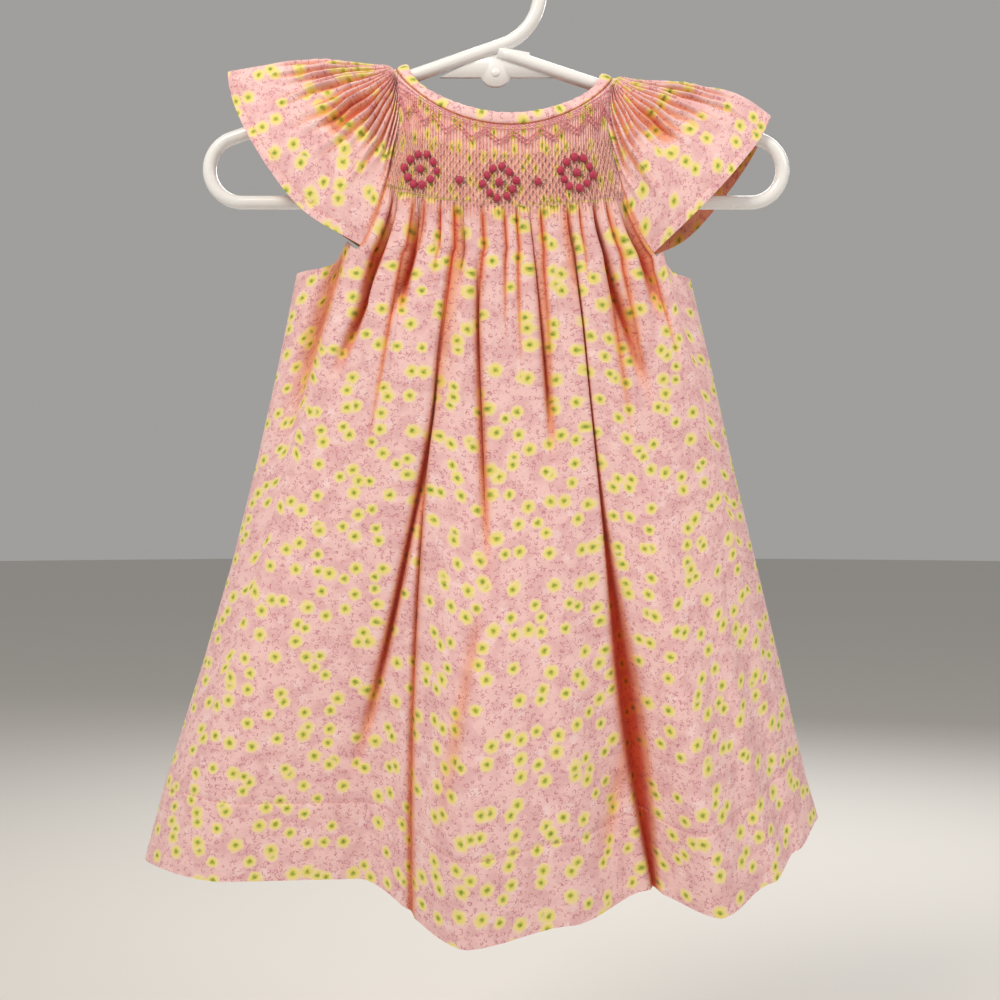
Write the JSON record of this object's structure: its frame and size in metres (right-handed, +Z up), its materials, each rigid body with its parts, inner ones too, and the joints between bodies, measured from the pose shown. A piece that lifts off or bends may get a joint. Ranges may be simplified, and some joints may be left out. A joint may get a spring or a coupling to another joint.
{
  "type": "baby dress on a hanger",
  "caption": "Smocked baby dress with gathered neck, flutter sleeves and a flared skirt, hanging open on a moulded child's hanger that a rail carries by its hook.",
  "frame": {"origin": "inner top of the hanger's hook, where a rail carries it", "axes": "+Z up, the dress's front faces -Y, +X to the right seen from the front"},
  "size_m": [0.3452, 0.1093, 0.4966],
  "materials": {
    "cloth": "printed cotton",
    "binding": "plain cotton",
    "hanger": "glossy white",
    "button": "satin white"
  },
  "bodies": {
    "root": {"hanger": "hanger", "front_panel": "cloth", "back_left": "cloth", "back_right": "cloth", "sleeve_left": "cloth", "sleeve_right": "cloth", "neck_binding": "binding", "back_placket": "cloth", "button_1": "button", "button_2": "button", "button_3": "button"}
  },
  "joints": []
}
